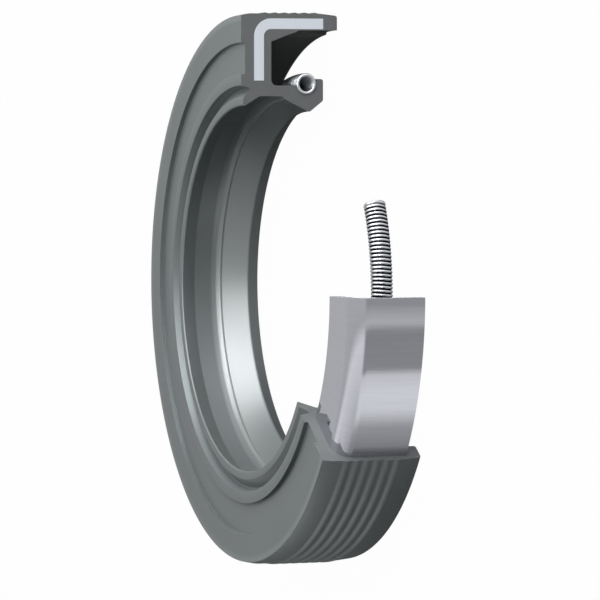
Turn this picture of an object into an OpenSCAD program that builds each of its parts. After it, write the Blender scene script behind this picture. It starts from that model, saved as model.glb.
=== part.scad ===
// Radial shaft seal with a rubber-covered case and a garter spring, cut away to show its section.
// The ring lies flat. Its axis is Z, the rear end (oil side) is at z = 0 and the front (air side) is up.
// Angles run counterclockwise from +X, seen from the front.

/* [Fit] */
// Diameter of the shaft that the main lip seals on
shaft_d = 35; // [32:0.5:40]
// Bore of the housing that the covered outside is pressed into
housing_d = 52; // [49:0.5:60]
// Width from the rear end to the front face
seal_w = 9.72; // [9.2:0.02:14]
// How much larger than the housing bore the wave crests are, across the diameter
press_oversize = 0.26; // [0.1:0.02:0.5]
// How much smaller than the shaft the free main lip is, across the diameter
lip_preload = 1.5; // [1:0.1:2.2]
// How much smaller than the shaft the free dust lip is, across the diameter
dust_preload = 0.44; // [0:0.02:0.8]

/* [Cutaway] */
// Angle of the cut that goes through all three pieces
cut_start = 90; // [0:5:180]
// Arc of rubber that is left
rubber_arc = 235; // [120:1:330]
// Arc of steel case that is left
case_arc = 270; // [120:1:330]
// Arc of spring that is left
spring_arc = 295; // [120:1:350]

/* [Steel case] */
// Thickness of the steel sheet
sheet_t = 1; // [0.7:0.05:1.2]
// Radius on the inside of the bend
bend_r = 0.7; // [0.3:0.05:1]

/* [Rubber cover] */
// Rubber in front of the case flange
front_cover = 1.3; // [0.9:0.05:1.6]
// Rubber behind the case flange
back_cover = 0.74; // [0.5:0.02:1]
// Rubber over the outside of the case, up to the wave crests
od_cover = 0.56; // [0.4:0.02:0.9]
// Rubber coat on the inside of the case
coat_t = 0.4; // [0.3:0.02:0.6]
// Rubber past the free end of the case
rear_cover = 1.41; // [1:0.05:2]
// Rubber between the inner edge of the flange and the outside of the waist
edge_cover = 0.47; // [0.3:0.02:0.8]
// How far the slope behind the flange stands in from the coat
slope_rise = 0.79; // [0.4:0.05:1.2]
// Length of that slope along the axis
slope_w = 2.1; // [1:0.1:2.6]
// Arc of the mould-pin notch in the coat, from the cut
notch_arc = 6.4; // [3:0.2:12]
// Depth of that notch, which leaves a thin skin on the case
notch_depth = 0.29; // [0.1:0.01:0.29]
// Slope of the front end of that notch
notch_angle = 24; // [20:1:40]
// Distance from the wall behind the flange to where the notch has its full depth
notch_reach = 2.87; // [2.5:0.01:3.5]

/* [Waves] */
// Number of wave crests around the outside
wave_count = 6; // [3:1:6]
// Distance from crest to crest
wave_pitch = 1; // [0.7:0.05:1]
// Height of a crest above the valley beside it
wave_h = 0.09; // [0.04:0.01:0.12]
// Distance of the first crest from the front face
first_wave = 2.42; // [1.9:0.02:2.6]
// Length of the lead-in bevel at the front
front_bevel_w = 0.9; // [0.5:0.05:1.2]
// Drop of the lead-in bevel at the front
front_bevel_drop = 0.17; // [0.05:0.01:0.4]
// Length of the lead-in bevel at the rear
rear_bevel_w = 1.75; // [1:0.05:1.75]
// Drop of the lead-in bevel at the rear
rear_bevel_drop = 0.2; // [0.05:0.01:0.4]
// Radius of the corners at the rear end
rear_corner_r = 0.24; // [0.1:0.02:0.4]

/* [Front face] */
// Depth of the ring-shaped recess
recess_depth = 0.39; // [0.1:0.01:0.6]
// Width of the rim inside the recess
inner_rim_w = 1.09; // [0.6:0.01:1.6]
// Width of the rim outside the recess
outer_rim_w = 2.6; // [1.5:0.05:3.5]

/* [Main lip] */
// Distance of the lip edge from the front face
lip_depth = 6.9; // [6.6:0.05:8]
// Width of the worn-in land on the lip edge
lip_land = 0.16; // [0.06:0.02:0.3]
// Slope of the lip on the air side
air_angle = 26; // [22:1:32]
// Slope of the lip on the oil side
oil_angle = 38; // [34:1:50]
// Height of the underside of the waist above the lip edge
waist_rise = 1.45; // [1.3:0.05:1.8]
// Thickness of the waist that lets the lip flex
waist_t = 1.02; // [0.8:0.02:1.3]
// Radius where the waist joins the flange
waist_r = 0.55; // [0.2:0.05:0.6]
// Radius of the corner between the dust lip and the underside of the waist
under_corner_r = 0.3; // [0.1:0.05:0.4]
// Height of the step at the throat, where the waist turns into the lip
throat_rise = 0.29; // [0.1:0.01:0.4]
// Steepest slope of that step
throat_angle = 52; // [40:1:60]
// Width of the fine mould line in the edge of that step
mould_line_w = 0.14; // [0.08:0.01:0.2]
// Depth of that line
mould_line_depth = 0.07; // [0.03:0.01:0.1]
// Distance from the lip edge to the back of the heel
heel_w = 1.4; // [1.3:0.05:1.8]
// Radius of the corners on the heel
heel_r = 0.26; // [0.1:0.02:0.3]

/* [Dust lip] */
// How far the tip stands behind the front face
dust_setback = 0.2; // [0:0.05:0.4]
// Thickness of the tip from its edge to the groove
dust_tip_t = 0.77; // [0.5:0.01:1]
// Width of the bevel that sharpens the edge of the tip
dust_edge = 0.12; // [0.04:0.02:0.2]
// Depth of the groove above the dust lip
dust_groove = 0.98; // [0.7:0.02:1.1]
// Radius at the root of that groove
dust_groove_r = 0.08; // [0.04:0.02:0.12]
// How far the root of that groove lies inside the waist's outside
dust_groove_in = 0.3; // [0.2:0.02:0.4]
// Distance from the front face to the root of the dust lip
dust_root = 1.83; // [1.5:0.05:2.2]

/* [Garter spring] */
// Outside diameter of the coil
coil_d = 2.05; // [1.8:0.05:2.1]
// Diameter of the wire
wire_d = 0.31; // [0.24:0.01:0.4]
// Gap from turn to turn along the middle of the coil
turn_gap = 0.04; // [0.03:0.005:0.1]
// Clearance between the coil and its groove
groove_clear = 0.03; // [0.01:0.01:0.1]
// Height of the middle of the coil above the lip edge
spring_rise = 2.63; // [2.55:0.01:2.75]
// How far the middle of the coil stands to the air side of the lip edge
spring_lead = 0.34; // [0.1:0.02:0.5]
// Height of the heel above the middle of the coil
heel_above = 0.46; // [0.3:0.02:0.6]

/* [Hidden] */

// Facets on curves where an exact arc isn't kept
arc_facets = 48;
wave_facets = 192;
ring_facets = 180;
// Share of a slope that the rounding at its foot may take up
rounding_share = 0.98;
// What a cutting shape stands past the surface that it cuts
past = 0.5;
// Straight steps along the whole wire of the spring
wire_steps = 1800;

// Radii on the outside
crest_r = (housing_d + press_oversize) / 2;
valley_r = crest_r - wave_h;
case_outer_r = crest_r - od_cover;
case_inner_r = case_outer_r - sheet_t;
coat_r = case_inner_r - coat_t;
front_edge_r = valley_r - front_bevel_drop;

// Arcs of the waves
middle_r = valley_r + wave_h / 2;
last_wave = first_wave + (wave_count - 1) * wave_pitch;
wave_r = (wave_pitch * wave_pitch / 16 + wave_h * wave_h / 4) / wave_h;

// Radii of the lips
lip_r = (shaft_d - lip_preload) / 2;
dust_r = (shaft_d - dust_preload) / 2;
under_r = lip_r + waist_rise;
waist_outer_r = under_r + waist_t;
flange_r = waist_outer_r + edge_cover;

// Distances from the front face
flange_front = front_cover;
flange_back = flange_front + sheet_t;
wall_back = flange_back + back_cover;
case_end = seal_w - rear_cover;
heel_back = lip_depth + heel_w;

// Middle of the coil and its groove
spring_r = lip_r + spring_rise;
spring_depth = lip_depth - spring_lead;
groove_r = coil_d / 2 + groove_clear;
heel_top_r = spring_r + heel_above;

// Turns of the spring
turn_pitch = wire_d + turn_gap;
turns = floor(spring_r * spring_arc * PI / 180 / turn_pitch);

// A point of the section: its radius, its distance from the front face and the radius of its corner
function at(radius, depth, corner = 0) = [radius, seal_w - depth, corner];

function flat(p) = [p[0], p[1]];
function unit(v) = v / norm(v);
function half_angle(a, p, b) = acos(unit(a - p) * unit(b - p)) / 2;
function turns_left(a, p, b) = cross(p - a, b - p) > 0;

// What lies between a sharp corner and its rounding, with a tip that runs on past the corner
module corner_piece(a, p, b, r) {
    to_a = unit(a - p);
    to_b = unit(b - p);
    half = half_angle(a, p, b);
    middle = p + unit(to_a + to_b) * r / sin(half);
    reach = r / tan(half);
    tip = p + (p - middle) / 4;
    difference() {
        polygon([tip, p + to_a * reach, middle, p + to_b * reach]);
        translate(middle) circle(r, $fn = arc_facets);
    }
}

// The corner pieces of an outline that turn to one side
module corner_pieces(points, left) {
    n = len(points);
    for (i = [0 : n - 1]) {
        a = flat(points[(i + n - 1) % n]);
        p = flat(points[i]);
        b = flat(points[(i + 1) % n]);
        if (points[i][2] > 0 && turns_left(a, p, b) == left) corner_piece(a, p, b, points[i][2]);
    }
}

// A counterclockwise outline whose corners are rounded by their own radii
module rounded_outline(points) {
    difference() {
        union() {
            polygon([for (p = points) flat(p)]);
            corner_pieces(points, false);
        }
        corner_pieces(points, true);
    }
}

// Section of the pressed case: a cylinder wall and a flange that is bent inwards
module case_section() {
    rounded_outline([
        at(flange_r, flange_back),
        at(case_inner_r, flange_back, bend_r),
        at(case_inner_r, case_end),
        at(case_outer_r, case_end),
        at(case_outer_r, flange_front, bend_r + sheet_t),
        at(flange_r, flange_front)
    ]);
}

// Section of the rubber before the waves, the spring groove and the room for the case
module rubber_blank() {
    land_edge = lip_land / 2;
    throat_r = under_r - throat_rise;
    throat_slope = throat_rise / sin(throat_angle);
    throat_blend_r = rounding_share * throat_slope / tan(throat_angle / 2);
    cone_end = lip_depth - land_edge - (throat_r - lip_r) / tan(air_angle);
    heel_low_r = lip_r + (heel_w - land_edge) * tan(oil_angle);
    rounded_outline([
        at(lip_r, lip_depth - land_edge),
        at(lip_r, lip_depth + land_edge),
        at(heel_low_r, heel_back, heel_r),
        at(heel_top_r, heel_back, heel_r),
        at(heel_top_r, spring_depth),
        at(waist_outer_r, spring_depth),
        at(waist_outer_r, wall_back, waist_r),
        at(coat_r - slope_rise, wall_back),
        at(coat_r, wall_back + slope_w),
        at(coat_r, seal_w, rear_corner_r),
        at(valley_r - rear_bevel_drop, seal_w, rear_corner_r),
        at(valley_r, seal_w - rear_bevel_w),
        at(valley_r, last_wave + wave_pitch / 2),
        at(middle_r, last_wave + wave_pitch / 4),
        at(middle_r, first_wave - wave_pitch / 4),
        at(valley_r, first_wave - wave_pitch / 2),
        at(valley_r, front_bevel_w),
        at(front_edge_r, 0),
        at(front_edge_r - outer_rim_w, 0),
        at(front_edge_r - outer_rim_w, recess_depth),
        at(waist_outer_r + inner_rim_w, recess_depth),
        at(waist_outer_r + inner_rim_w, 0),
        at(waist_outer_r, 0),
        at(waist_outer_r - dust_groove_in, dust_groove, dust_groove_r),
        at(dust_r + dust_tip_t, dust_setback),
        at(dust_r + dust_edge, dust_setback),
        at(dust_r, dust_setback + dust_edge),
        at(under_r, dust_root, under_corner_r),
        at(under_r, cone_end - throat_rise / tan(throat_angle), throat_blend_r),
        at(throat_r, cone_end),
        at(throat_r + mould_line_depth, cone_end + mould_line_w / 2),
        at(throat_r - mould_line_w * tan(air_angle), cone_end + mould_line_w)
    ]);
}

// Round bars along one wave of the outside, at the crests or at the valleys beside them
module wave_rounds(middle, first, count) {
    for (i = [0 : count - 1])
        translate(flat(at(middle, first + i * wave_pitch))) circle(wave_r, $fn = wave_facets);
}

// Soft waves: arcs over the crests meet arcs in the valleys half-way up
module rubber_section() {
    difference() {
        union() {
            rubber_blank();
            wave_rounds(crest_r - wave_r, first_wave, wave_count);
        }
        wave_rounds(valley_r + wave_r, first_wave - wave_pitch / 2, wave_count + 1);
        translate(flat(at(spring_r, spring_depth))) circle(groove_r, $fn = arc_facets);
        case_section();
    }
}

// Room that a mould pin leaves in the inner coat
module notch_section() {
    notch_r = coat_r + notch_depth;
    notch_start = wall_back + notch_reach;
    polygon([
        flat(at(notch_r, notch_start)),
        flat(at(notch_r, seal_w + past)),
        flat(at(coat_r - past, seal_w + past)),
        flat(at(coat_r - past, notch_start - (notch_depth + past) / tan(notch_angle)))
    ]);
}

module seal_body() {
    color("#6b6f70")
    rotate([0, 0, cut_start])
    difference() {
        rotate_extrude(angle = rubber_arc, $fn = ring_facets) rubber_section();
        rotate([0, 0, -1]) rotate_extrude(angle = notch_arc + 1, $fn = ring_facets) notch_section();
    }
}

module steel_case() {
    color("#c4c8d2")
    rotate([0, 0, cut_start])
    rotate_extrude(angle = case_arc, $fn = ring_facets) case_section();
}

// Helix wound around a circle: its place at a share of the whole length, for a spot of the wire's section
function wound(share, spot) =
    let (
        around = 360 * turns * share,
        along = cut_start + spring_arc * share,
        out = coil_d / 2 - wire_d / 2 + spot[0],
        radius = spring_r + out * cos(around)
    )
    [
        radius * cos(along) - spot[1] * sin(along),
        radius * sin(along) + spot[1] * cos(along),
        seal_w - spring_depth + out * sin(around)
    ];

// Close-wound wire with a three-sided section whose edge points outwards
module garter_spring() {
    half = wire_d / 2;
    section = [[half, 0], [-half, half], [-half, -half]];
    sides = len(section);
    points = [for (i = [0 : wire_steps]) for (spot = section) wound(i / wire_steps, spot)];
    walls = [
        for (i = [0 : wire_steps - 1])
            for (j = [0 : sides - 1])
                let (
                    a = i * sides + j,
                    b = i * sides + (j + 1) % sides
                )
                each [[a, b, b + sides], [a, b + sides, a + sides]]
    ];
    first = [for (j = [sides - 1 : -1 : 0]) j];
    last = [for (j = [0 : sides - 1]) wire_steps * sides + j];
    color("#d4d8de") polyhedron(points, concat([first], walls, [last]));
}

seal_body();
steel_case();
garter_spring();
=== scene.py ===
# %% [markdown]
# # A radial shaft seal, cut away
# A radial shaft seal keeps the oil in and the dust out where a shaft leaves its housing. This one is
# cut open in three steps, so that the rubber, the pressed steel case inside it and the coil spring
# behind the lip can be seen one after the other. The solids come from the CAD model and stay where
# they are. What follows gives them their fine meshes and their finishes.

# %% Load the solids
import math

import bmesh
import bpy
from mathutils import Matrix, Vector


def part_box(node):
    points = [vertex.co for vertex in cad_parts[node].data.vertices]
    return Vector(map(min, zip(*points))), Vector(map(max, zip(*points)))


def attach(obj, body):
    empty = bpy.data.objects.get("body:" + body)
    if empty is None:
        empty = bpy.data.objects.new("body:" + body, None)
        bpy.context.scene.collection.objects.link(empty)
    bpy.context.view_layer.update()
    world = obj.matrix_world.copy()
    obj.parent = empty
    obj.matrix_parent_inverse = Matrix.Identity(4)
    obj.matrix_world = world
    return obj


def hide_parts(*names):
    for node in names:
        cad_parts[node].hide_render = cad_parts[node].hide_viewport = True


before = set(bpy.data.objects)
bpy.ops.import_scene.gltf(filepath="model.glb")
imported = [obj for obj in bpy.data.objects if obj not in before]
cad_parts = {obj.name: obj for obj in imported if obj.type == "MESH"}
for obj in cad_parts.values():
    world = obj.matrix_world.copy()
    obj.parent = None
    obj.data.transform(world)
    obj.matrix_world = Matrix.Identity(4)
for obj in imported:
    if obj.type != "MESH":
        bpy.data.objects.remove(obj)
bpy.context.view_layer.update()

# %% [markdown]
# ## The camera
# A small ring looks right through a long lens from well away, because a short lens would swell the
# near side. The ring lies flat in its own frame, and the picture shows it upright, so the camera is
# rolled: its up direction is +Y. A camera looks along its own -Z, so its matrix is built from the
# three directions right, up and back.

# %% Place the camera
MM = 0.001
CAMERA_PLACE = Vector((446.6, 18.2, 174.7)) * MM
LOOKS_ALONG = Vector((-0.93315, -0.04044, -0.35716)).normalized()
PICTURE_UP = Vector((-0.03780, 0.99918, -0.01447))
LENS = 302.0
SENSOR_WIDTH = 36.0
CLIP_START = 10 * MM

picture_right = LOOKS_ALONG.cross(PICTURE_UP).normalized()
picture_up = picture_right.cross(LOOKS_ALONG)
camera_data = bpy.data.cameras.new("camera")
camera_data.lens = LENS
camera_data.sensor_width = SENSOR_WIDTH
camera_data.clip_start = CLIP_START
camera = bpy.data.objects.new("camera", camera_data)
turn = Matrix((picture_right, picture_up, -LOOKS_ALONG)).transposed()
camera.matrix_world = Matrix.Translation(CAMERA_PLACE) @ turn.to_4x4()
bpy.context.scene.collection.objects.link(camera)
bpy.context.scene.camera = camera
print("camera is", round(CAMERA_PLACE.length / MM), "mm from the middle of the ring")

# %% [markdown]
# ## Small helpers for nodes
# Every finish below is a tree of shader nodes. A few short helpers keep the recipes readable. Each
# adds a node or two, and takes either plain values or the sockets of nodes that came before.

# %% Node helpers
def add(tree, kind, values=None, **settings):
    """A new node with its settings and its socket values."""
    made = tree.nodes.new(kind)
    for name, setting in settings.items():
        setattr(made, name, setting)
    for socket, value in (values or {}).items():
        made.inputs[socket].default_value = value
    return made


def join(tree, start, end):
    tree.links.new(start, end)


def feed(tree, term, socket):
    """Sets a socket to a value, or joins it where the term is a socket itself."""
    if isinstance(term, bpy.types.NodeSocket):
        join(tree, term, socket)
    else:
        socket.default_value = term


def calculate(tree, operation, *terms):
    """A Math node. Each term is a number or a socket."""
    made = add(tree, "ShaderNodeMath", operation=operation)
    for term, socket in zip(terms, made.inputs):
        feed(tree, term, socket)
    return made.outputs[0]


def spread(tree, mask, low, high):
    """A mask from 0 to 1 as a value from low to high."""
    made = add(tree, "ShaderNodeMapRange", {"To Min": low, "To Max": high})
    join(tree, mask, made.inputs["Value"])
    return made.outputs["Result"]


def ease(tree, value, start, end):
    """0 on one side of start, 1 past end, and a straight slope between."""
    made = add(tree, "ShaderNodeMapRange", {"From Min": start, "From Max": end})
    join(tree, value, made.inputs["Value"])
    return made.outputs["Result"]


def blend(tree, factor, first, second):
    """A number between two numbers. Factor 0 gives the first."""
    made = add(tree, "ShaderNodeMix", data_type="FLOAT")
    join(tree, factor, made.inputs["Factor"])
    feed(tree, first, made.inputs["A"])
    feed(tree, second, made.inputs["B"])
    return made.outputs["Result"]


# %% [markdown]
# ## The studio
# The floor is plain and pale. What the camera sees of it is lifted to white, and a little of its own
# shading stays, so that the ring keeps a faint shadow. Polished steel that lies on a white floor
# would mirror nothing but white, so its reflections pass the floor and meet the studio's soft
# panels instead, which are drawn in the world. The floor lies a hair below the ring, because two
# faces in one plane would show through each other.

# %% Floor
FLOOR_SIDE = 3.0
FLOOR_GAP = 0.02 * MM
FLOOR_LIFT = 0.985
PAPER_TONES = (0.27, 0.29)
FIBRES = {"Scale": 40.0, "Detail": 4.0}

floor_mesh = bpy.data.meshes.new("floor")
grid = bmesh.new()
bmesh.ops.create_grid(grid, x_segments=8, y_segments=8, size=FLOOR_SIDE / 2)
grid.to_mesh(floor_mesh)
grid.free()
floor = bpy.data.objects.new("floor", floor_mesh)
floor.location.z = -FLOOR_GAP
bpy.context.scene.collection.objects.link(floor)

floor_finish = bpy.data.materials.new("pale_floor")
floor_finish.use_nodes = True
tree = floor_finish.node_tree
tree.nodes.clear()
paper = add(tree, "ShaderNodeBsdfDiffuse")
fibres = add(tree, "ShaderNodeTexNoise", FIBRES)
join(tree, spread(tree, fibres.outputs["Fac"], *PAPER_TONES), paper.inputs["Color"])
white = add(tree, "ShaderNodeEmission", {"Color": (1, 1, 1, 1), "Strength": 1.0})
through = add(tree, "ShaderNodeBsdfTransparent")
path = add(tree, "ShaderNodeLightPath")
seen = calculate(tree, "MAXIMUM", path.outputs["Is Camera Ray"], path.outputs["Is Transmission Ray"])
lifted = add(tree, "ShaderNodeMixShader")
join(tree, calculate(tree, "MULTIPLY", seen, FLOOR_LIFT), lifted.inputs["Fac"])
join(tree, paper.outputs[0], lifted.inputs[1])
join(tree, white.outputs[0], lifted.inputs[2])
passed = add(tree, "ShaderNodeMixShader")
join(tree, path.outputs["Is Glossy Ray"], passed.inputs["Fac"])
join(tree, lifted.outputs[0], passed.inputs[1])
join(tree, through.outputs[0], passed.inputs[2])
surface = add(tree, "ShaderNodeOutputMaterial")
join(tree, passed.outputs[0], surface.inputs["Surface"])
floor_mesh.materials.append(floor_finish)
print("floor is", FLOOR_SIDE, "m wide")

# %% [markdown]
# The world does two jobs. For matt surfaces it is a weak wash of light that fades towards the bottom
# of the picture. For reflections it is a set of soft panels, some bright and some dim, which draw
# the bands on the steel. Most of them stand side by side round the ring, and a direction round the
# ring is all that their colour ramp needs. What faces the ring from the front is a second ramp, from
# the bottom of the picture to its top.
#
# Under the floor the panels stand only on the camera's side, at the top of the picture and straight
# down. The corner at the bottom of the picture, behind the ring, is dim, which keeps the narrow
# walls of the front recess dark. Everywhere else a small share of the panels is left, so that no
# steel turns black.

# %% Studio panels
PANELS = [
    (-180, 0.7), (-120, 0.5), (-76, 0.15), (-72, 0.15), (-69, 0.40), (-59, 0.58), (-51, 1.15),
    (-43, 1.2), (-34, 1.0), (-33.5, 0.46), (-16, 0.43), (-13, 0.82), (-7, 0.62), (-5, 0.48),
    (0, 0.6), (10, 1.15), (50, 1.9), (90, 1.8), (120, 0.9), (180, 0.7),
]
BEFORE_THE_FRONT = [
    (-1.0, 0.5), (-0.8, 0.8), (-0.65, 0.95), (-0.33, 1.15), (-0.2, 0.7), (0.0, 0.74), (0.4, 1.1),
    (0.8, 1.7),
]
FRONT_SWITCH = (0.0, 0.25)


def ramp(tree, value, low, high, levels):
    """Grey levels along a value that runs from low to high, from (value, level) pairs."""
    made = add(tree, "ShaderNodeValToRGB")
    join(tree, ease(tree, value, low, high), made.inputs["Fac"])
    stops = made.color_ramp.elements
    while len(stops) < len(levels):
        stops.new(0.5)
    for stop, (at, level) in zip(stops, levels):
        stop.position = (at - low) / (high - low)
        stop.color = (level, level, level, 1)
    return made.outputs["Color"]


world = bpy.data.worlds.new("studio")
bpy.context.scene.world = world
world.use_nodes = True
tree = world.node_tree
tree.nodes.clear()
direction = add(tree, "ShaderNodeTexCoord")
parts = add(tree, "ShaderNodeSeparateXYZ")
join(tree, direction.outputs["Generated"], parts.inputs[0])
to_camera, to_top, to_front = parts.outputs
around = calculate(tree, "DEGREES", calculate(tree, "ARCTAN2", to_top, to_camera))
panels = blend(
    tree, ease(tree, to_front, *FRONT_SWITCH),
    ramp(tree, around, -180, 180, PANELS), ramp(tree, to_top, -1, 1, BEFORE_THE_FRONT),
)
print("panels round the studio:", len(PANELS), "and before the front:", len(BEFORE_THE_FRONT))

# %% Studio light
STANDS_TOWARDS = [(to_camera, 0.0, 0.2), (to_front, -0.1, 0.1), (to_top, 0.5, 0.9), (to_front, -0.7, -0.95)]
CORNER_LOW = (-0.5, -0.75)
CORNER_BEHIND = (0.0, -0.2)
CORNER_SHARE = 0.2
UNDER_FLOOR = 0.12
WASH = 0.06
WASH_TILT = 0.03

standing = 0.0
for side, start, end in STANDS_TOWARDS:
    standing = calculate(tree, "MAXIMUM", standing, ease(tree, side, start, end))
corner = calculate(tree, "MULTIPLY", ease(tree, to_top, *CORNER_LOW), ease(tree, to_camera, *CORNER_BEHIND))
standing = calculate(tree, "MULTIPLY", standing, spread(tree, corner, 1.0, CORNER_SHARE))
mirrored = calculate(tree, "MULTIPLY", panels, calculate(tree, "MAXIMUM", standing, UNDER_FLOOR))
wash = calculate(tree, "MULTIPLY_ADD", to_top, WASH_TILT, WASH)
path = add(tree, "ShaderNodeLightPath")
light = blend(tree, path.outputs["Is Glossy Ray"], wash, mirrored)
seen = calculate(tree, "MAXIMUM", path.outputs["Is Camera Ray"], path.outputs["Is Transmission Ray"])
background = add(tree, "ShaderNodeBackground")
join(tree, blend(tree, seen, light, 1.0), background.inputs["Strength"])
surface = add(tree, "ShaderNodeOutputWorld")
join(tree, background.outputs[0], surface.inputs["Surface"])
print("wash from", round(WASH - WASH_TILT, 2), "to", round(WASH + WASH_TILT, 2))

# %% [markdown]
# Five softboxes light the ring. Each is a rectangle that faces its middle. The long key hangs high on
# the camera's side, and its reflection is the soft bright band in the bore of the lip. The front one
# is close to the front face. The large one hangs high behind the ring and lights its front face
# evenly. Flat steel would show it as a white sheet, so reflections leave it out. The last two hang
# over and under the ring in the picture, and the thin one below grazes the outside and draws its
# waves.

# %% Softboxes
def softbox(name, towards, distance, sides, radiance, along=(1, 0, 0)):
    """A rectangular lamp that faces the ring. along is the direction of the first of its sides."""
    data = bpy.data.lights.new(name, "AREA")
    data.shape = "RECTANGLE"
    data.size, data.size_y = sides
    data.energy = radiance * math.pi * sides[0] * sides[1]
    lamp = bpy.data.objects.new(name, data)
    back = Vector(towards).normalized()
    side = Vector(along)
    side = (side - side.dot(back) * back).normalized()
    turn = Matrix((side, back.cross(side), back)).transposed()
    lamp.matrix_world = Matrix.Translation(back * distance) @ turn.to_4x4()
    bpy.context.scene.collection.objects.link(lamp)
    print(name, "spans", round(math.degrees(2 * math.atan(sides[0] / 2 / distance))), "degrees")
    return lamp


softbox("key_softbox", (0.61, 0.62, 0.47), 0.22, (0.34, 0.06), 6.2, along=(0.51, -0.83, 0.09))
softbox("front_softbox", (0.2, 0.42, 0.88), 0.13, (0.09, 0.10), 5.7)
back_softbox = softbox("back_softbox", (-0.4, 0.72, 0.57), 0.5, (0.4, 0.4), 3.75)
back_softbox.visible_glossy = False
softbox("top_softbox", (0.45, 0.88, 0.05), 0.3, (0.2, 0.2), 1.6)
softbox("low_softbox", (-0.08, -0.99, 0.05), 0.12, (0.1, 0.007), 11.0)

# %% [markdown]
# ## Effects that several finishes share
# Fine grain and the marks of the saw show on more than one material, so each is a node group. A
# group's sockets are made on its interface. Both groups measure in metres on the object itself, and
# give out masks from 0 to 1. A material decides what a mask does there: tone, gloss or relief.

# %% Group helpers
def new_group(name, inputs, outputs):
    """An empty shader group with number sockets, and its two end nodes."""
    tree = bpy.data.node_groups.new(name, "ShaderNodeTree")
    for label, value in inputs.items():
        socket = tree.interface.new_socket(label, in_out="INPUT", socket_type="NodeSocketFloat")
        socket.default_value = value
    for label in outputs:
        tree.interface.new_socket(label, in_out="OUTPUT", socket_type="NodeSocketFloat")
    return tree, add(tree, "NodeGroupInput"), add(tree, "NodeGroupOutput")


def place(tree, group, values):
    """A copy of a group in a material, with the material's own values."""
    return add(tree, "ShaderNodeGroup", values, node_tree=group)


# %% Fine grain
grain, given, result = new_group("fine_grain", {"Grains": 6000.0, "Clouds": 150.0}, ["Grain", "Cloud"])
where = add(grain, "ShaderNodeTexCoord")
for label, source, detail in (("Grain", "Grains", 3.0), ("Cloud", "Clouds", 2.0)):
    noise = add(grain, "ShaderNodeTexNoise", {"Detail": detail, "Roughness": 0.6})
    join(grain, where.outputs["Object"], noise.inputs["Vector"])
    join(grain, given.outputs[source], noise.inputs["Scale"])
    join(grain, noise.outputs["Fac"], result.inputs[label])
print("fine_grain gives", [socket.name for socket in result.inputs if socket.name])

# %% [markdown]
# A saw leaves fine parallel lines. Noise whose space is pressed flat along one direction gives such
# lines: here they run outwards over the cut, each at its own height. Both the saw marks and the
# rubber ask how far a point is from the ring's axis, so that is a helper.

# %% Saw marks
def from_axis(tree):
    """How far a point of the surface is from the ring's axis, in metres, and its split coordinates."""
    where = add(tree, "ShaderNodeTexCoord")
    parts = add(tree, "ShaderNodeSeparateXYZ")
    join(tree, where.outputs["Object"], parts.inputs[0])
    squares = [calculate(tree, "MULTIPLY", parts.outputs[way], parts.outputs[way]) for way in "XY"]
    return calculate(tree, "SQRT", calculate(tree, "ADD", *squares)), parts


saw_marks, given, result = new_group("saw_marks", {"Lines": 5000.0, "Drift": 150.0}, ["Mark"])
outwards, parts = from_axis(saw_marks)
pressed = add(saw_marks, "ShaderNodeCombineXYZ")
height_lines = calculate(saw_marks, "MULTIPLY", parts.outputs["Z"], given.outputs["Lines"])
join(saw_marks, height_lines, pressed.inputs["X"])
join(saw_marks, calculate(saw_marks, "MULTIPLY", outwards, given.outputs["Drift"]), pressed.inputs["Y"])
noise = add(saw_marks, "ShaderNodeTexNoise", {"Scale": 1.0, "Detail": 2.0})
join(saw_marks, pressed.outputs[0], noise.inputs["Vector"])
join(saw_marks, noise.outputs["Fac"], result.inputs["Mark"])
print("saw_marks gives", [socket.name for socket in result.inputs if socket.name])

# %% [markdown]
# ## Rubber
# Nitrile rubber with carbon black is a neutral dark grey with a cool gloss that is low but wide. The
# mould gives it a satin skin. Its fine grain is far smaller than a tenth of a millimetre, so it only
# breaks the gloss, and a slow cloudiness keeps the large faces from looking printed.
#
# Two things differ from place to place. The outside has been handled and is scuffed a little duller, most of
# all on the crests of its waves. It is also painted a little lighter there, and lighter still on the crests:
# this is painted light, which stands in for the light on the outside and on the lit flanks of its waves. The
# cone between the lip's edge and the throat carries a film of oil, which is a coat over the rubber. Both are
# masks from the distance to the axis and the height.

# %% Helpers for finishes
# A Mix node has sockets for numbers, vectors and colours in one row. These are the ones for colours.
MIX_COLOURS = (6, 7)
MIX_COLOUR_OUT = 2


def new_finish(name, values):
    """A material with its tree and its Principled BSDF."""
    material = bpy.data.materials.new(name)
    material.use_nodes = True
    shader = material.node_tree.nodes["Principled BSDF"]
    for socket, value in values.items():
        shader.inputs[socket].default_value = value
    print("new finish:", name)
    return material, material.node_tree, shader


def tones(tree, mask, first, second):
    """A colour between two others, by a mask. The first may be a socket."""
    mixed = add(tree, "ShaderNodeMix", data_type="RGBA")
    join(tree, mask, mixed.inputs["Factor"])
    for number, colour in zip(MIX_COLOURS, (first, second)):
        term = colour if isinstance(colour, bpy.types.NodeSocket) else (*colour, 1)
        feed(tree, term, mixed.inputs[number])
    return mixed.outputs[MIX_COLOUR_OUT]


def weighed(tree, share, first, rest):
    """A share of the first mask, filled up with the other."""
    return calculate(tree, "MULTIPLY_ADD", first, share, calculate(tree, "MULTIPLY", rest, 1 - share))


def relief(tree, shader, height, depth):
    """Bump from a height mask. depth is how far 1 stands above 0, in metres."""
    bump = add(tree, "ShaderNodeBump", {"Strength": 1.0, "Distance": depth})
    join(tree, height, bump.inputs["Height"])
    join(tree, bump.outputs["Normal"], shader.inputs["Normal"])


# %% Moulded rubber
OUTSIDE_RADII = (25.2 * MM, 25.5 * MM)
WAVE_RADII = (26.035 * MM, 26.12 * MM)
CREST_SHARE = 0.3
CLOUD_SHARE = 0.25
SCUFFED_ROUGHER = 0.15
FILM_HEIGHTS = (2.8 * MM, 3.0 * MM)
FILM_END_HEIGHTS = (6.3 * MM, 6.0 * MM)
FILM_RADII = (18.9 * MM, 18.6 * MM)
SKIN_GRAIN = 0.002 * MM

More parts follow.
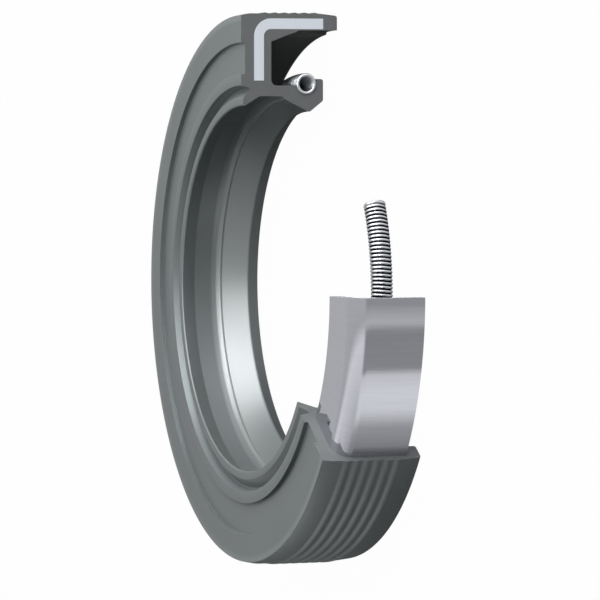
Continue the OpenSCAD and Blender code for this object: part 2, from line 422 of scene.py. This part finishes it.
moulded_rubber, tree, shader = new_finish("moulded_rubber", {
    "IOR": 1.6, "Specular IOR Level": 0.9, "Specular Tint": (0.88, 0.98, 1.0, 1),
    "Coat IOR": 1.8, "Coat Roughness": 0.34,
})
texture = place(tree, grain, {"Grains": 5200.0, "Clouds": 140.0})
outwards, parts = from_axis(tree)
# painted light: the outside, and its wave crests most, come out lighter; the same mask makes them duller
scuff_and_painted_light = weighed(
    tree, CREST_SHARE, ease(tree, outwards, *WAVE_RADII), ease(tree, outwards, *OUTSIDE_RADII)
)
shade = weighed(tree, CLOUD_SHARE, texture.outputs["Cloud"], scuff_and_painted_light)
rubber_tone = tones(tree, shade, (0.061, 0.068, 0.069), (0.115, 0.125, 0.127))
join(tree, rubber_tone, shader.inputs["Base Color"])
satin = spread(tree, texture.outputs["Grain"], 0.36, 0.46)
gloss = calculate(tree, "MULTIPLY_ADD", scuff_and_painted_light, SCUFFED_ROUGHER, satin)
join(tree, gloss, shader.inputs["Roughness"])
film = ease(tree, parts.outputs["Z"], *FILM_HEIGHTS)
film = calculate(tree, "MULTIPLY", film, ease(tree, parts.outputs["Z"], *FILM_END_HEIGHTS))
film = calculate(tree, "MULTIPLY", film, ease(tree, outwards, *FILM_RADII))
join(tree, film, shader.inputs["Coat Weight"])
relief(tree, shader, texture.outputs["Grain"], SKIN_GRAIN)
print("film of oil reaches", round(FILM_RADII[1] / MM, 1), "mm from the axis")

# %% [markdown]
# Where the saw has been, the rubber is open. It is lighter and duller there than the skin.

# %% Cut rubber
SAWN_DEPTH = 0.003 * MM

cut_rubber, tree, shader = new_finish("cut_rubber", {"IOR": 1.5, "Specular IOR Level": 0.4})
texture = place(tree, grain, {"Grains": 7000.0, "Clouds": 260.0})
marks = place(tree, saw_marks, {"Lines": 4200.0, "Drift": 180.0})
sawn_tone = tones(tree, texture.outputs["Cloud"], (0.100, 0.106, 0.108), (0.113, 0.119, 0.121))
join(tree, sawn_tone, shader.inputs["Base Color"])
join(tree, spread(tree, marks.outputs["Mark"], 0.5, 0.64), shader.inputs["Roughness"])
relief(tree, shader, marks.outputs["Mark"], SAWN_DEPTH)

# %% [markdown]
# ## Steel
# The case is pressed from thin bright sheet. Drawing the sheet over its punch leaves long faint
# marks along the wall, which turn inwards over the bend and on across the flange. Noise that looks
# only at the direction from the axis, and hardly at the height, has just that shape. On the cut the
# steel is open too: lighter, and far duller than the drawn sheet.

# %% Drawn steel
DRAWN_DEPTH = 0.0015 * MM
HEIGHT_WEIGHT = 2.0

drawn_steel, tree, shader = new_finish("drawn_steel", {"Metallic": 1.0})
where = add(tree, "ShaderNodeTexCoord")
parts = add(tree, "ShaderNodeSeparateXYZ")
join(tree, where.outputs["Object"], parts.inputs[0])
sideways = add(tree, "ShaderNodeCombineXYZ")
join(tree, parts.outputs["X"], sideways.inputs["X"])
join(tree, parts.outputs["Y"], sideways.inputs["Y"])
outward = add(tree, "ShaderNodeVectorMath", operation="NORMALIZE")
join(tree, sideways.outputs[0], outward.inputs[0])
split = add(tree, "ShaderNodeSeparateXYZ")
join(tree, outward.outputs[0], split.inputs[0])
marked = add(tree, "ShaderNodeCombineXYZ")
join(tree, split.outputs["X"], marked.inputs["X"])
join(tree, split.outputs["Y"], marked.inputs["Y"])
join(tree, calculate(tree, "MULTIPLY", parts.outputs["Z"], HEIGHT_WEIGHT), marked.inputs["Z"])
marks = add(tree, "ShaderNodeTexNoise", {"Scale": 90.0, "Detail": 4.0, "Roughness": 0.65})
join(tree, marked.outputs[0], marks.inputs["Vector"])
drawn_tone = tones(tree, marks.outputs["Fac"], (0.56, 0.575, 0.62), (0.64, 0.65, 0.70))
join(tree, drawn_tone, shader.inputs["Base Color"])
join(tree, spread(tree, marks.outputs["Fac"], 0.04, 0.09), shader.inputs["Roughness"])
relief(tree, shader, marks.outputs["Fac"], DRAWN_DEPTH)

# %% Cut steel
cut_steel, tree, shader = new_finish("cut_steel", {"Metallic": 1.0})
marks = place(tree, saw_marks, {"Lines": 5200.0, "Drift": 120.0})
sawn_tone = tones(tree, marks.outputs["Mark"], (0.66, 0.71, 0.77), (0.72, 0.77, 0.82))
join(tree, sawn_tone, shader.inputs["Base Color"])
join(tree, spread(tree, marks.outputs["Mark"], 0.42, 0.52), shader.inputs["Roughness"])
relief(tree, shader, marks.outputs["Mark"], SAWN_DEPTH)

# %% [markdown]
# ## Wire of the spring
# The wire is bright. Between its turns it is painted nearly black, which is painted shade, and that makes
# the coil read as dark and light lines. The painted shade belongs where the wire faces its neighbour, so its
# mask compares the surface's normal with the direction round the ring. The last turn at each end has no
# neighbour, so the mask fades out there, and it also fades out round a spot on the turns next to the first
# cut.

# %% Where the ring is cut
CUT_START = 90
RUBBER_ARC = 235
CASE_ARC = 270
SPRING_ARC = 295


def direction_at(degrees):
    return Vector((math.cos(math.radians(degrees)), math.sin(math.radians(degrees)), 0))


print("arcs of rubber, case and spring in degrees:", RUBBER_ARC, CASE_ARC, SPRING_ARC)

# %% Spring wire
# the colour of the painted shade between the turns of the wire
PAINTED_GAP_SHADE = (0.01, 0.011, 0.013)
FACES_NEIGHBOUR = (0.42, 0.66)
OFF_LAST_TURN = (0.15 * MM, 0.25 * MM)
SHADE_FREE_MIDDLE = (0, 19.4 * MM, 3.2 * MM)
SHADE_FREE_REACH = (2 * MM, 8 * MM)
WIRE_GRAIN = 0.001 * MM

spring_wire, tree, shader = new_finish("spring_wire", {"Metallic": 1.0})
texture = place(tree, grain, {"Grains": 9000.0, "Clouds": 700.0})
where = add(tree, "ShaderNodeNewGeometry")
onward = add(tree, "ShaderNodeVectorMath", {1: (0, 0, 1)}, operation="CROSS_PRODUCT")
join(tree, where.outputs["Position"], onward.inputs[0])
along = add(tree, "ShaderNodeVectorMath", operation="NORMALIZE")
join(tree, onward.outputs[0], along.inputs[0])
facing = add(tree, "ShaderNodeVectorMath", operation="DOT_PRODUCT")
join(tree, along.outputs[0], facing.inputs[0])
join(tree, where.outputs["Normal"], facing.inputs[1])
# painted shade: the sides of each turn that face the next turn are darkened
gap_shade_mask = ease(tree, calculate(tree, "ABSOLUTE", facing.outputs["Value"]), *FACES_NEIGHBOUR)
for degrees in (CUT_START, CUT_START + SPRING_ARC):
    off_plane = add(tree, "ShaderNodeVectorMath", {1: direction_at(degrees + 90)}, operation="DOT_PRODUCT")
    join(tree, where.outputs["Position"], off_plane.inputs[0])
    off_end = calculate(tree, "ABSOLUTE", off_plane.outputs["Value"])
    gap_shade_mask = calculate(tree, "MULTIPLY", gap_shade_mask, ease(tree, off_end, *OFF_LAST_TURN))
# the painted shade fades out round this spot next to the first cut
off_shade_free = add(tree, "ShaderNodeVectorMath", {1: SHADE_FREE_MIDDLE}, operation="DISTANCE")
join(tree, where.outputs["Position"], off_shade_free.inputs[0])
gap_shade_mask = calculate(tree, "MULTIPLY", gap_shade_mask, ease(tree, off_shade_free.outputs["Value"], *SHADE_FREE_REACH))
bright = tones(tree, texture.outputs["Cloud"], (0.47, 0.485, 0.515), (0.55, 0.565, 0.595))
join(tree, tones(tree, gap_shade_mask, bright, PAINTED_GAP_SHADE), shader.inputs["Base Color"])
join(tree, spread(tree, texture.outputs["Grain"], 0.30, 0.38), shader.inputs["Roughness"])
relief(tree, shader, texture.outputs["Grain"], WIRE_GRAIN)
print("finishes:", sorted(m.name for m in bpy.data.materials if m.use_nodes))

# %% [markdown]
# ## Reading the section from the solids
# The ring is a turned shape, and its section lies open on the flat faces where it is cut. So the
# outline needs no second drawing: it's read from the CAD solid. All corners of a flat cap lie in one
# plane through the axis, and the edges that only one cap triangle owns are its outline.

# %% Read a cap's outlines
CLOSE = 0.0015 * MM


def chained(edges):
    """The closed loops of vertices that some edges make."""
    beside = {}
    for edge in edges:
        for v in edge.verts:
            beside.setdefault(v, []).append(edge.other_vert(v))
    loops = []
    left = dict.fromkeys(beside)
    while left:
        loop = [left.popitem()[0]]
        while True:
            onward = [v for v in beside[loop[-1]] if v in left]
            if not onward:
                break
            loop.append(onward[0])
            del left[onward[0]]
        loops.append(loop)
    return sorted(loops, key=len, reverse=True)


def cap_outlines(node, degrees):
    """The outlines of a node's flat cap, as lists of (radius, height), the longest first."""
    out = direction_at(degrees)
    across = direction_at(degrees + 90)
    solid = bmesh.new()
    solid.from_mesh(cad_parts[node].data)
    bmesh.ops.remove_doubles(solid, verts=solid.verts, dist=CLOSE)
    in_cap = {v for v in solid.verts if abs(v.co.dot(across)) < CLOSE and v.co.dot(out) > 0}
    cap = {f for f in solid.faces if in_cap.issuperset(f.verts)}
    rim = [e for e in solid.edges if sum(f in cap for f in e.link_faces) == 1]
    outlines = [[(v.co.dot(out), v.co.z) for v in loop] for loop in chained(rim)]
    solid.free()
    print(node, "cap at", degrees, "degrees has outlines of", [len(o) for o in outlines], "points")
    return outlines


rubber_outlines = cap_outlines("seal_body", CUT_START + RUBBER_ARC)
notch_outlines = cap_outlines("seal_body", CUT_START)
case_outlines = cap_outlines("steel_case", CUT_START)

# %% [markdown]
# ## Spinning the section
# A turned body is a section that is carried round an axis. Blender's Screw modifier does that too,
# but the two flat ends of this ring have to be closed, one of them round the hole where the steel
# sits. A few lines of mesh code do all of it: a row of corners at each step, a quad between
# neighbours, and a fill over each end. Faces get material 0 on the turned skin and 1 on the cuts.
#
# A real moulded edge is never quite sharp, and it's the small rounding that catches the light. So
# each corner of the outline is first swapped for a short arc.

# %% Soften an outline
SHARP = math.radians(30)
EDGE_SHARE = 0.4


def softened(outline, radius, steps=2):
    """The outline with each sharp corner turned into an arc of this radius, where there is room."""
    points = [Vector(p) for p in outline]
    rounded = []
    for i, corner in enumerate(points):
        before = points[i - 1] - corner
        after = points[(i + 1) % len(points)] - corner
        bend = math.pi - before.angle(after)
        if bend < SHARP:
            rounded.append(corner)
            continue
        reach = min(radius * math.tan(bend / 2), before.length * EDGE_SHARE, after.length * EDGE_SHARE)
        start = corner + before.normalized() * reach
        end = corner + after.normalized() * reach
        for step in range(steps + 1):
            share = step / steps
            rounded.append(start.lerp(corner, share).lerp(corner.lerp(end, share), share))
    return rounded


# %% Spin outlines into a solid
STEP_DEGREES = 1.25


def spun(name, outlines, start, arc, finishes):
    """A solid of revolution from outlines of (radius, height), with both ends closed."""
    count = math.ceil(arc / STEP_DEGREES)
    body = bmesh.new()
    end_edges = ([], [])
    for outline in outlines:
        rows = []
        for step in range(count + 1):
            out = direction_at(start + arc * step / count)
            rows.append([body.verts.new(out * r + Vector((0, 0, z))) for r, z in outline])
        for row, onward in zip(rows, rows[1:]):
            for i in range(len(outline)):
                body.faces.new((row[i - 1], row[i], onward[i], onward[i - 1]))
        for edges, row in zip(end_edges, (rows[0], rows[-1])):
            edges += [body.edges.get((row[i - 1], row[i])) for i in range(len(row))]
    for edges in end_edges:
        filled = bmesh.ops.triangle_fill(body, edges=edges, use_beauty=True, use_dissolve=False)
        for piece in filled["geom"]:
            if isinstance(piece, bmesh.types.BMFace):
                piece.material_index = 1
    bmesh.ops.recalc_face_normals(body, faces=body.faces)
    mesh = bpy.data.meshes.new(name)
    body.to_mesh(mesh)
    body.free()
    for finish in finishes:
        mesh.materials.append(finish)
    made = bpy.data.objects.new(name, mesh)
    bpy.context.scene.collection.objects.link(made)
    print(name, "has", len(mesh.polygons), "faces")
    return made


# %% Modifiers into the mesh
SMOOTH_BELOW = math.radians(38)


def apply_modifiers(piece):
    """Turns what the modifiers make into the piece's own mesh."""
    seen_by_render = piece.evaluated_get(bpy.context.evaluated_depsgraph_get())
    mesh = bpy.data.meshes.new_from_object(seen_by_render)
    piece.modifiers.clear()
    piece.data = mesh


def smooth(piece):
    """Smooth shading that breaks at sharp edges and lies flat on the large faces."""
    mesh = piece.data
    mesh.polygons.foreach_set("use_smooth", [True] * len(mesh.polygons))
    mesh.set_sharp_from_angle(angle=SMOOTH_BELOW)
    weighted = piece.modifiers.new("weighted_normals", "WEIGHTED_NORMAL")
    weighted.keep_sharp = True
    apply_modifiers(piece)


# %% Rubber body
EDGE_RADIUS = 0.04 * MM

skin, pocket = rubber_outlines
rubber = spun(
    "rubber_body", [softened(skin, EDGE_RADIUS), pocket], CUT_START, RUBBER_ARC, [moulded_rubber, cut_rubber]
)

# %% [markdown]
# The mould held the case with pins, and each pin left a notch in the coat inside the wall. The cut
# goes through one of them, so the two flat ends differ there. The corners that only the notched end
# has give the notch's outline, and the solid's corners at the foot of its slope tell how far it goes
# round. A block of that outline is cut out with a Boolean modifier.

# %% Outline of the mould-pin notch
PAST_THE_COAT = 0.5 * MM
PAST_THE_CUT = 1


def missing(outline, other):
    """The corners of one outline that lie on no corner of the other."""
    return [p for p in outline if min(math.dist(p, q) for q in other) > 4 * CLOSE]


notch = missing(notch_outlines[0], rubber_outlines[0])
foot, top, end = sorted((Vector(p) for p in notch), key=lambda p: -p.y)
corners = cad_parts["seal_body"].data.vertices
on_foot = [v.co for v in corners if math.dist((math.hypot(v.co.x, v.co.y), v.co.z), foot) < CLOSE]
notch_end = max(math.degrees(math.atan2(co.y, co.x)) for co in on_foot)
inside = foot + (foot - top)
notch_outline = [inside, top, Vector((end.x, -PAST_THE_COAT)), Vector((inside.x, -PAST_THE_COAT))]
print("notch corners in mm:", [(round(r / MM, 3), round(z / MM, 3)) for r, z in notch])
print("notch spans", round(notch_end - CUT_START, 2), "degrees")

# %% Cut the notch
cutter = spun(
    "notch_cutter", [notch_outline], CUT_START - PAST_THE_CUT, notch_end - CUT_START + PAST_THE_CUT,
    [moulded_rubber],
)
cut = rubber.modifiers.new("notch", "BOOLEAN")
cut.operation = "DIFFERENCE"
cut.solver = "EXACT"
cut.object = cutter
apply_modifiers(rubber)
bpy.data.objects.remove(cutter)
smooth(rubber)
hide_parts("seal_body")
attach(rubber, "root")
print("rubber_body has", len(rubber.data.polygons), "faces with its notch")

# %% [markdown]
# ## Steel case
# The case is spun from its own cap in the same way. It keeps the corners of the sheared sheet just
# as they are, because they lie tight in the rubber.

# %% Steel case
case = spun("pressed_case", case_outlines, CUT_START, CASE_ARC, [drawn_steel, cut_steel])
smooth(case)
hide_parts("steel_case")
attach(case, "root")

# %% [markdown]
# ## Garter spring
# A garter spring is a close-wound coil that is bent into a ring. Its line is a helix whose own axis
# is a circle. A curve object is the direct way: the points are worked out, and the curve's bevel
# gives the wire its thickness. The box of the solid gives the coil's diameter, height and place. At
# each end the last turn lies flat, so it is a closed circle of its own.

# %% Line of the spring
WIRE = 0.34 * MM
TURN_PITCH = 0.35 * MM
STEPS_A_TURN = 28
STEPS_A_END = 2 * STEPS_A_TURN

coil_low, coil_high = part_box("garter_spring")
coil_height = (coil_low.z + coil_high.z) / 2
coil_radius = (coil_high.z - coil_low.z) / 2
ring_radius = -coil_low.x - coil_radius
wire_radius = coil_radius - WIRE / 2


def on_coil(degrees, turn):
    """A point in the middle of the wire: how far round the ring, and the angle within its turn."""
    out = direction_at(degrees) * (ring_radius + wire_radius * math.cos(turn))
    return (out.x, out.y, coil_height + wire_radius * math.sin(turn), 1)


turns = math.floor(ring_radius * math.radians(SPRING_ARC) / TURN_PITCH)
steps = turns * STEPS_A_TURN
line = [
    on_coil(CUT_START + SPRING_ARC * step / steps, math.tau * step / STEPS_A_TURN)
    for step in range(steps + 1)
]
ends = [
    [on_coil(degrees, math.tau * step / STEPS_A_END) for step in range(STEPS_A_END)]
    for degrees in (CUT_START, CUT_START + SPRING_ARC)
]
print("coil is", round(2 * coil_radius / MM, 2), "mm across, on a radius of", round(ring_radius / MM, 2))
print("turns of the spring:", turns)

# %% Wind the spring
helix = bpy.data.curves.new("garter_spring_wire", "CURVE")
helix.dimensions = "3D"
helix.bevel_depth = WIRE / 2
helix.bevel_resolution = 2
helix.use_fill_caps = True
for points, closed in ((line, False), (ends[0], True), (ends[1], True)):
    spline = helix.splines.new("POLY")
    spline.points.add(len(points) - 1)
    for made, point in zip(spline.points, points):
        made.co = point
    spline.use_cyclic_u = closed
    spline.use_smooth = True
helix.materials.append(spring_wire)
spring = bpy.data.objects.new("garter_spring_wire", helix)
bpy.context.scene.collection.objects.link(spring)
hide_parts("garter_spring")
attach(spring, "root")
print("garter_spring_wire has lines of", [len(s.points) for s in helix.splines], "points")

# %% [markdown]
# ## Finish
# Colours are shown as they are.

# %% Finish
bpy.context.scene.view_settings.view_transform = "Standard"
